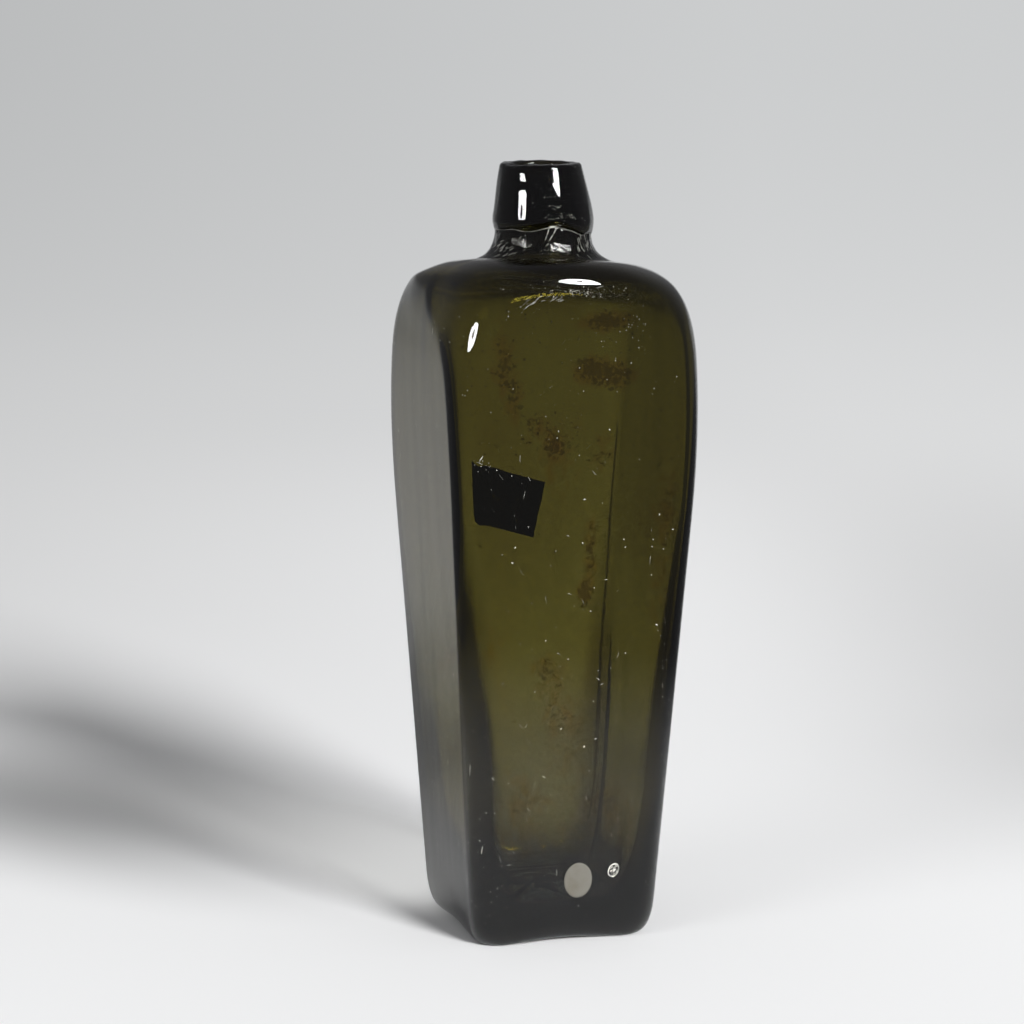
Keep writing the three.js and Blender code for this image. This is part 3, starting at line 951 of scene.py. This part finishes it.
def on_wall(tree, draw, wall, lowest, highest, aside):
    """A drawn place on one of the four walls, and its normal. The levels and the distance from
    the wall's middle are in millimetres, and the walls are wider towards the top."""
    height = draw.uniform(lowest, highest) * MM
    across = draw.uniform(-aside, aside) * MM * (0.75 + height)
    outwards = outwards_at(wall * math.pi / 2)
    sideways = Vector((-outwards.y, outwards.x, 0.0))
    start = outwards * FAR_OFF + sideways * across
    start.z = height
    return met(tree, start, -outwards)


def lying(place, normal, turn, sizes):
    """Lays a unit shape on a surface: turned in it, and as long, wide and high as sizes."""
    upright = normal.to_track_quat("Z", "Y").to_matrix()
    shape = upright @ Matrix.Rotation(turn, 3, "Z") @ Matrix.Diagonal(sizes)
    return Matrix.Translation(place) @ shape.to_4x4()


# Labels

# The back label's corners as seen through the front, and its middle, across and up in
# millimetres
LOT_TOP_LEFT, LOT_TOP_RIGHT = Vector((-14.6, 157.4)), Vector((14.0, 148.4))
LOT_LOW_LEFT, LOT_LOW_RIGHT = Vector((-11.6, 135.0)), Vector((9.8, 128.8))
LOT_MIDDLE = Vector((0.3, 141.4))
OFF_GLASS = 0.04                  # how far the paper lies off the glass, in millimetres


def thickened(bm, side, thickness):
    """A sheet that faces the front or the back, given its thickness towards the glass."""
    bmesh.ops.recalc_face_normals(bm, faces=bm.faces)
    if sum(face.normal.y for face in bm.faces) * side < 0:
        bmesh.ops.reverse_faces(bm, faces=bm.faces)
    bmesh.ops.solidify(bm, geom=bm.faces, thickness=-thickness)
    bmesh.ops.recalc_face_normals(bm, faces=bm.faces)
    return bm


def lot_label(tree):
    """The label on the back face: thin paper with worn and slightly lifted edges."""
    bm = bmesh.new()
    bmesh.ops.create_grid(bm, x_segments=26, y_segments=22, size=0.5)
    for vert in bm.verts:
        s, t = vert.co.x + 0.5, vert.co.y + 0.5
        edge = min(s, 1 - s, t, 1 - t)
        low, high = LOT_LOW_LEFT.lerp(LOT_LOW_RIGHT, s), LOT_TOP_LEFT.lerp(LOT_TOP_RIGHT, s)
        flat = low.lerp(high, t)
        if edge < NOTHING:
            fine = 0.5 * wobble((flat.x, flat.y, 0.0), 1.7, 31.0)
            on_left = bump_at(flat.x, -13.6, 3.0)
            deeper = 0.9 * on_left * wobble((0.0, flat.y, 0.0), 3.5, 35.0)
            flat += (LOT_MIDDLE - flat).normalized() * abs(fine + deeper)
        loose = max(0.0, wobble((flat.x, flat.y, 2.0), 7.0, 33.0))
        lift = OFF_GLASS * MM + 0.25 * MM * soft_step(0.12, 0.0, edge) * loose
        start = Vector((flat.x * MM, FAR_OFF, flat.y * MM))
        place, normal = met(tree, start, Vector((0, FRONT, 0)))
        vert.co = place + normal * lift
    return thickened(bm, BACK, 0.12 * MM)


def dot_label(tree):
    """The oval dot near the base of the front face."""
    middle_x, middle_z = (DOT_LOW.x + DOT_HIGH.x) / 2, (DOT_LOW.z + DOT_HIGH.z) / 2
    half_wide, half_high = (DOT_HIGH.x - DOT_LOW.x) / 2, (DOT_HIGH.z - DOT_LOW.z) / 2
    rings = 8
    bm = turned([(ring / rings, 0.0) for ring in range(rings + 1)], 56)
    for vert in bm.verts:
        rim = vert.co.xy.length
        worn = 1 - 0.03 * rim * abs(wobble(outwards_at(angle_of(vert.co)), 0.5, 41.0))
        start = Vector((middle_x + vert.co.x * half_wide * worn, -FAR_OFF,
                        middle_z + vert.co.y * half_high * worn))
        place, normal = met(tree, start, Vector((0, BACK, 0)))
        vert.co = place + normal * OFF_GLASS * MM
    return thickened(bm, FRONT, 0.1 * MM)


# Wear

SPECKS, SHORT_LINES = 230, 26     # on each wall
SPECK_HEIGHT = 0.05 * MM

# Clusters of small nicks, by their middle and half-size in pixels of the picture. Those with a
# turn are streaks, which slope up to the right by so many degrees
Cluster = namedtuple("Cluster", "x y half_width half_height count turn", defaults=(None,))
CLUSTERS = (
    Cluster(592, 293, 18, 3.5, 80),
    Cluster(552, 291, 14, 5, 24),
    Cluster(540, 301, 12, 3, 16, 30),
    Cluster(527, 306, 6, 4, 14),
    Cluster(506, 288, 3, 3, 6),
    Cluster(634, 325, 6, 9, 18),
    Cluster(466, 380, 3, 26, 10),
    Cluster(482, 466, 6, 4, 12),
    Cluster(560, 640, 60, 90, 40),
    Cluster(663, 700, 2.5, 60, 22),
    Cluster(417, 708, 1.2, 16, 14),
    Cluster(424, 770, 6, 40, 14),
    Cluster(480, 845, 4, 16, 14),
    Cluster(480, 905, 26, 18, 34),
    # From here on, on the neck and the lip: painted glints and streaks of mirrored light
    Cluster(503, 248, 9, 4, 34, 38),
    Cluster(583, 247, 5, 5, 26, 100),
    Cluster(552, 252, 8, 2, 20),
    Cluster(528, 246, 1.5, 1.5, 5),
    Cluster(563, 217, 8, 1.5, 30),
    Cluster(546, 197, 1.5, 1.5, 5),
    Cluster(557, 206, 4, 4, 12),
    Cluster(552, 180, 14, 14, 14),
)

# Single scratches: middle in pixels of the picture, half-length and half-width in millimetres,
# and slope in degrees up to the right
Scratch = namedtuple("Scratch", "x y half_length half_width turn")
SCRATCHES_AND_GLINTS = (
    Scratch(527, 307, 1.4, 0.035, 38),
    Scratch(548, 297, 1.3, 0.035, 24),
    Scratch(575, 291, 2.0, 0.05, 10),
    Scratch(600, 287, 1.6, 0.05, 14),
    # These six, on the neck under the lip's seam, are painted glints
    Scratch(548, 232, 1.3, 0.11, 72),
    Scratch(546, 238, 1.0, 0.09, 68),
    Scratch(555, 231, 1.2, 0.12, 62),
    Scratch(551, 238, 1.5, 0.10, 58),
    Scratch(553, 226.5, 1.5, 0.14, 0),
    Scratch(547, 245, 0.8, 0.08, 40),
    Scratch(481, 459, 1.4, 0.12, 55),
    Scratch(479, 463, 1.1, 0.10, -20),
    Scratch(526, 726, 1.1, 0.10, 62),
    Scratch(544, 777, 0.8, 0.12, -30),
    Scratch(598, 679, 1.0, 0.08, -35),
    Scratch(602, 684, 0.8, 0.08, 20),
    Scratch(493, 779, 0.9, 0.08, -40),
    Scratch(509, 865, 1.0, 0.10, 5),
    Scratch(514, 853, 0.7, 0.08, -50),
    Scratch(482, 850, 1.8, 0.08, 80),
    Scratch(470, 770, 2.6, 0.06, 84),
    Scratch(546, 600, 1.6, 0.05, 100),
    Scratch(618, 655, 1.3, 0.06, 80),
    Scratch(650, 560, 1.8, 0.05, 86),
)

# The burst bubble: its place in pixels of the picture, its slope in degrees and its half-sizes
BUBBLE_X, BUBBLE_Y, BUBBLE_TURN = 613.5, 870, 65
BUBBLE_SIZES = (2.3 * MM, 1.75 * MM, 0.8 * MM)
CRACKLES = 22


def add_crumb_and_glint(bm, place, normal, turn, sizes):
    """One speck, scratch or painted glint: a flattened ball of twenty faces, half sunk in the
    glass.
    """
    bmesh.ops.create_icosphere(bm, subdivisions=1, radius=1.0,
                               matrix=lying(place, normal, turn, sizes))


def wear_of_walls(bm, tree, draw):
    """Specks and short lines, scattered over the four walls and the shoulder."""
    for wall in range(4):
        for _ in range(SPECKS):
            place, normal = on_wall(tree, draw, wall, 6, 222, 38)
            size = 0.06 * MM + draw.random() ** 3 * 0.14 * MM
            longer = draw.choice((1.0, 1.0, 1.6, 2.5))
            add_crumb_and_glint(bm, place, normal, draw.uniform(0, math.pi),
                      (size * longer, size, SPECK_HEIGHT))
        for _ in range(SHORT_LINES):
            place, normal = on_wall(tree, draw, wall, 20, 215, 34)
            add_crumb_and_glint(bm, place, normal, draw.gauss(1.9, 0.5),
                      (draw.uniform(0.5, 1.6) * MM, 0.045 * MM, 0.03 * MM))


def cluster_of_nicks_and_glints(bm, tree, draw, cluster):
    """Nicks or streaks, drawn round one place in the picture, where they meet the glass. On the
    neck and the lip they are painted glints and streaks of mirrored light.
    """
    for _ in range(cluster.count):
        x = draw.gauss(cluster.x, cluster.half_width)
        y = draw.gauss(cluster.y, cluster.half_height)
        place, normal = at_pixel(tree, x, y)
        size = draw.uniform(0.04, 0.11) * MM
        sizes = (size * draw.choice((1.0, 1.5, 3.0)), size, SPECK_HEIGHT)
        turn = draw.uniform(0, math.pi)
        if cluster.turn is not None:
            sizes = (draw.uniform(0.5, 1.4) * MM, 0.04 * MM, 0.04 * MM)
            turn = math.radians(draw.gauss(cluster.turn, 7))
        if place:
            add_crumb_and_glint(bm, place, normal, turn, sizes)


def specks_and_scratches(tree):
    """Dust, nicks and short scratches, scattered, in clusters and alone, with painted glints on
    the neck and the lip.
    """
    draw = random.Random(17)
    bm = bmesh.new()
    wear_of_walls(bm, tree, draw)
    for cluster in CLUSTERS:
        cluster_of_nicks_and_glints(bm, tree, draw, cluster)
    for line in SCRATCHES_AND_GLINTS:
        place, normal = at_pixel(tree, line.x, line.y)
        if place:
            add_crumb_and_glint(bm, place, normal, math.radians(line.turn),
                      (line.half_length * MM, line.half_width * MM, 0.06 * MM))
    return bm


def burst_bubble(tree):
    """A burst bubble near the base: a small raised ring round crackled glass."""
    bm = bmesh.new()
    section = Matrix.Translation((1.0, 0, 0)) @ Matrix.Rotation(math.pi / 2, 4, "X")
    bmesh.ops.create_circle(bm, segments=10, radius=0.10, matrix=section)
    spin_round(bm, bm.verts[:], bm.edges[:], 40, same_place=1e-5)
    draw = random.Random(5)
    for _ in range(CRACKLES):
        angle, far = draw.uniform(0, 2 * math.pi), draw.uniform(0.1, 0.85)
        spot = Vector((far * math.cos(angle), far * math.sin(angle), 0.0))
        bmesh.ops.create_icosphere(bm, subdivisions=2, radius=1.0, matrix=lying(
            spot, Vector((0, 0, 1)), draw.uniform(0, math.pi),
            (draw.uniform(0.12, 0.3), draw.uniform(0.04, 0.1), 0.12)))
    for vert in bm.verts:
        vert.co *= 1 + 0.07 * wobble(vert.co, 0.5, 51.0)
    place, normal = at_pixel(tree, BUBBLE_X, BUBBLE_Y)
    lay = lying(place, normal, math.radians(BUBBLE_TURN), BUBBLE_SIZES)
    bmesh.ops.transform(bm, matrix=lay, verts=bm.verts)
    bmesh.ops.recalc_face_normals(bm, faces=bm.faces)
    return bm


# Operators for the pieces

class BOTTLE_OT_body(bpy.types.Operator):
    """Blow the body and press it square"""

    bl_idname = "bottle.body"
    bl_label = "Blow the body"

    def execute(self, context):
        scene = context.scene
        colours = scene.bottle_colours
        glass = glass_material("olive_glass", colours, colours.glass_density, dirty_and_shaded=True)
        body = made(glass_body(scene.bottle_sizes), "glass_body", glass)
        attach(body, "root")
        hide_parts("bottle_body")
        return {"FINISHED"}


class BOTTLE_OT_lip(bpy.types.Operator):
    """Lay the lip on round the end of the neck and tool it"""

    bl_idname = "bottle.lip"
    bl_label = "Lay on the lip"

    def execute(self, context):
        scene = context.scene
        colours = scene.bottle_colours
        glass = glass_material("lip_glass", colours, colours.lip_density, dirty_and_shaded=False)
        lip = made(laid_on_lip(scene.bottle_sizes), "laid_on_lip", glass)
        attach(lip, "root")
        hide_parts("applied_lip")
        return {"FINISHED"}


class BOTTLE_OT_labels(bpy.types.Operator):
    """Stick the two blank paper labels to the glass"""

    bl_idname = "bottle.labels"
    bl_label = "Stick the labels on"

    def execute(self, context):
        colours = context.scene.bottle_colours
        tree = surface_tree("glass_body")
        lot = made(lot_label(tree), "lot_label_paper",
                   paper_material("aged_paper", colours.lot_paper))
        dot = made(dot_label(tree), "dot_label_paper",
                   paper_material("worn_paper", colours.dot_paper))
        for piece, node, slot in ((lot, "lot_label", "label_paper"),
                                  (dot, "dot_label", "dot_paper")):
            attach(piece, "root")
            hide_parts(node)
        return {"FINISHED"}


class BOTTLE_OT_wear(bpy.types.Operator):
    """Add the specks, the scratches and painted glints, the burst bubble and the lip's broken seam
    """

    bl_idname = "bottle.wear"
    bl_label = "Wear the glass"

    def execute(self, context):
        tree = surface_tree("glass_body", "laid_on_lip")
        pale = crumb_and_glint_material(context.scene.bottle_colours)
        for bm, name in ((specks_and_scratches(tree), "specks_and_scratches"),
                         (burst_bubble(tree), "burst_bubble"),
                         (lip_seam(context.scene.bottle_sizes), "lip_seam")):
            piece = made(bm, name, pale)
            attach(piece, "root")
        return {"FINISHED"}


# The stage

FLOOR_FLAT, FLOOR_WALL = 1.9, 2.6     # radius of the flat floor, and of the backdrop round it
BACKDROP_FROM, BACKDROP_TOP = 0.7, 1.5
LAMPS_AIM = Vector((0.0, 0.0, 0.2))   # what the lamps shine at,
LAMPS_OFF = 1.5                       # and from how far

# The two lamps: degrees to the camera's right, degrees up, angular size in degrees and strength
# of the light, then the same two angles, half-width, half-height, share left dark in the middle
# and brightness of the face that the glass mirrors
Lamp = namedtuple("Lamp", "name turn rise spread strength face_turn face_rise wide high dark "
                          "brightness")
LAMPS = (
    Lamp("right_lamp", 34, 26, 17, 5.0, 40, 30, 0.25, 0.30, 0.2, 34),
    Lamp("left_lamp", -47, 22, 30, 0.8, -52, 16.5, 0.24, 0.10, 0.3, 30),
)

# The painted soft shadow behind the bottle on the left: its middle, to the camera's right and
# back, how far it is turned, its half-length and half-width, and how dark it is
SHADE_SIDE, SHADE_BACK, SHADE_TURN = -0.19, 0.145, math.radians(46)
SHADE_LONG, SHADE_WIDE, SHADE_DEPTH = 0.22, 0.095, 0.52


def painted_floor_shade(side, back):
    """How much painted shade darkens the floor at a place: far back on the left and on the right,
    and in the soft painted shadow that widens the bottle's shadow."""
    left = smooth(back, -0.3, 0.6) * (1 - (side * 0.45 + 0.88).clamped())
    right = smooth(back, 0.0, 0.3) * smooth(side, 0.04, 0.30) * 0.33
    off_side, off_back = side - SHADE_SIDE, back - SHADE_BACK
    cos, sin = math.cos(SHADE_TURN), math.sin(SHADE_TURN)
    along = (off_back * cos - off_side * sin) / SHADE_LONG
    across = (off_side * cos + off_back * sin) / SHADE_WIDE
    reach = (along * along + across * across).to("SQRT")
    return (left + right + (1 - smooth(reach, 0.0, 1.0)) * SHADE_DEPTH).clamped()


def painted_light_let_through(side, back):
    """Strength of the painted streak of light for what the right lamp throws through the glass."""
    away = math.radians(LAMPS[0].turn)
    along = back * math.cos(away) - side * math.sin(away)
    across = (side * math.cos(away) + back * math.sin(away)).to("ABSOLUTE")
    streak = (1 - smooth(across, 0.018, 0.055)) * smooth(along, 0.01, 0.06)
    return streak * (1 - smooth(along, 0.05, 0.30)) * 0.42


def mirrored_as_paper(side, back, height, far):
    """1 where the glass mirrors the floor as it is: near the bottle, or low down behind it."""
    off_back = side.to("ARCTAN2", back).to("ABSOLUTE")
    behind = 1 - smooth(off_back, math.radians(38), math.radians(50))
    near = 1 - smooth(far, 0.17, 0.36)
    return behind.to("MAXIMUM", near) * (1 - smooth(height, 0.25, 0.55))


def floor_material(colours):
    """Pale paper, lit near the bottle and evenly bright far out, where it climbs as the backdrop,
    with painted shade round the bottle and a painted streak of light in its shadow. The glass
    mirrors the paper that is near it or behind it, and beyond that the dark room."""
    paint = painted("pale_paper")
    place = paint.node("Mapping", {}, {"Vector": paint.object_place(),
                                       "Rotation": (0.0, 0.0, CAMERA_TURN)})
    side, back, height = paint.split(place)
    far = paint.node("VectorMath", {"operation": "LENGTH"}, {0: place}, out="Value")

    climb = smooth(back * 0.35 + height, 0.2, 1.15)
    tone = paint.mix(climb, rgba(colours.backdrop_low), rgba(colours.backdrop_high))
    plain = paint.light(paint.scaled(tone, (side * 0.22 + 0.95).clamped()))
    # The lit floor's colour, darkened by painted shade and a painted shadow
    ground = paint.scaled(tuple(colours.floor), 1 - painted_floor_shade(side, back))
    lit = paint.node("BsdfDiffuse", {}, {"Color": ground})
    paper = paint.node("MixShader", {}, {"Fac": smooth(far, 0.45, 1.3), 1: lit, 2: plain})
    # Painted light: a glowing streak on the floor that stands for the lamp's light let through the
    # glass
    glow = paint.light((1.0, 1.0, 0.98, 1.0), painted_light_let_through(side, back))
    paper = paint.node("AddShader", {}, {0: paper, 1: glow})

    dark = 1 - mirrored_as_paper(side, back, height, far)
    dark = paint.node("LightPath", out="Is Glossy Ray") * dark
    room = paint.light(rgba(colours.room))
    return paint.finish(paint.node("MixShader", {}, {"Fac": dark, 1: paper, 2: room}))


def floor_bowl():
    """The floor, which bends up into a backdrop all round, with its faces turned inwards."""
    bowl = Outline(0.0, 0.0)
    bowl.line_to(FLOOR_FLAT, 0.0, 12)
    bowl.bend_to((FLOOR_WALL, 0.0), (FLOOR_WALL, BACKDROP_FROM), 16)
    bowl.line_to(FLOOR_WALL, BACKDROP_TOP, 2)
    bm = turned(bowl.points, 96)
    if sum(face.normal.z for face in bm.faces) < 0:
        bmesh.ops.reverse_faces(bm, faces=bm.faces)
    return bm


def aimed(turn, rise):
    """The matrix of a lamp that stands so many degrees to the camera's right, and up, and
    shines at the bottle."""
    angle, rise = math.radians(turn - 90) - CAMERA_TURN, math.radians(rise)
    away = Vector((math.cos(rise) * math.cos(angle), math.cos(rise) * math.sin(angle),
                   math.sin(rise)))
    turned_to = away.to_track_quat("Z", "Y").to_matrix().to_4x4()
    return Matrix.Translation(LAMPS_AIM + away * LAMPS_OFF) @ turned_to


def lamp_light(lamp):
    """The light itself, which nothing mirrors."""
    data = bpy.data.lights.new(lamp.name, "SUN")
    data.energy, data.angle = lamp.strength, math.radians(lamp.spread)
    light = bpy.data.objects.new(lamp.name, data)
    light.matrix_world = aimed(lamp.turn, lamp.rise)
    light.visible_glossy = False
    return light


def lamp_face(lamp):
    """A bright oval with a dark middle, which is only seen mirrored in the glass."""
    bm = turned([(lamp.dark, 0.0), (1.0, 0.0)], 48)
    shape = Matrix.Diagonal((lamp.wide, lamp.high, 1.0, 1.0))
    bmesh.ops.transform(bm, matrix=aimed(lamp.face_turn, lamp.face_rise) @ shape,
                        verts=bm.verts)
    paint = painted(lamp.name + "_glow")
    face = made(bm, lamp.name + "_face",
                paint.finish(paint.light((1.0, 1.0, 1.0, 1.0), lamp.brightness)))
    for kind in ("camera", "diffuse", "transmission", "volume_scatter", "shadow"):
        setattr(face, "visible_" + kind, False)
    return face


def room_world(colours):
    """Soft light from all round. The camera sees the backdrop's colour there, and the glass
    mirrors the dark room."""
    paint = Paint(bpy.data.worlds.new("room"))
    seen = paint.node("LightPath", out="Is Camera Ray")
    mirrored = paint.node("LightPath", out="Is Glossy Ray")
    tone = paint.mix(mirrored, rgba(colours.soft_light), rgba(colours.room))
    tone = paint.mix(seen, tone, rgba(colours.backdrop_high))
    background = paint.node("Background", {}, {"Color": tone, "Strength": 1.0})
    return paint.finish(background, kind="World")


def fitted_camera():
    """The camera that sees the bottle as the photograph does."""
    data = bpy.data.cameras.new("camera")
    data.sensor_width = SENSOR
    data.lens = Camera.FOCAL / PICTURE * SENSOR
    data.clip_start, data.clip_end = 0.05, 20.0
    camera = bpy.data.objects.new("camera", data)
    camera.matrix_world = Camera.matrix()
    return camera


class BOTTLE_OT_stage(bpy.types.Operator):
    """Set up the floor and the backdrop"""

    bl_idname = "bottle.stage"
    bl_label = "Set the stage"

    def execute(self, context):
        floor = made(floor_bowl(), "floor", floor_material(context.scene.bottle_colours))
        floor.visible_shadow = False
        return {"FINISHED"}


class BOTTLE_OT_lights(bpy.types.Operator):
    """Set the two lamps, the soft light of the room and the camera"""

    bl_idname = "bottle.lights"
    bl_label = "Light it and set the camera"

    def execute(self, context):
        scene = context.scene
        for lamp in LAMPS:
            scene.collection.objects.link(lamp_light(lamp))
            lamp_face(lamp)
        scene.world = room_world(scene.bottle_colours)
        scene.camera = fitted_camera()
        scene.collection.objects.link(scene.camera)
        scene.view_settings.view_transform = "Standard"
        scene.cycles.caustics_reflective = False
        scene.cycles.caustics_refractive = False
        return {"FINISHED"}


class BOTTLE_PT_panel(bpy.types.Panel):
    """Builds the bottle step by step"""

    bl_idname = "BOTTLE_PT_panel"
    bl_label = "Case gin bottle"
    bl_space_type = "VIEW_3D"
    bl_region_type = "UI"
    bl_category = "Bottle"

    def draw(self, context):
        for operator in OPERATORS:
            self.layout.operator(operator.bl_idname)
        for group in (context.scene.bottle_sizes, context.scene.bottle_colours):
            box = self.layout.box()
            for key in group.__annotations__:
                box.prop(group, key)


OPERATORS = (BOTTLE_OT_body, BOTTLE_OT_lip, BOTTLE_OT_labels, BOTTLE_OT_wear, BOTTLE_OT_stage,
             BOTTLE_OT_lights)
CLASSES = (BottleSizes, BottleColours, *OPERATORS, BOTTLE_PT_panel)


def register():
    for cls in CLASSES:
        bpy.utils.register_class(cls)
    bpy.types.Scene.bottle_sizes = PointerProperty(type=BottleSizes)
    bpy.types.Scene.bottle_colours = PointerProperty(type=BottleColours)


def unregister():
    del bpy.types.Scene.bottle_colours
    del bpy.types.Scene.bottle_sizes
    for cls in reversed(CLASSES):
        bpy.utils.unregister_class(cls)


def main():
    """Builds everything in order."""
    register()
    bpy.ops.bottle.body()
    bpy.ops.bottle.lip()
    bpy.ops.bottle.labels()
    bpy.ops.bottle.wear()
    bpy.ops.bottle.stage()
    bpy.ops.bottle.lights()


if __name__ == "__main__":
    main()
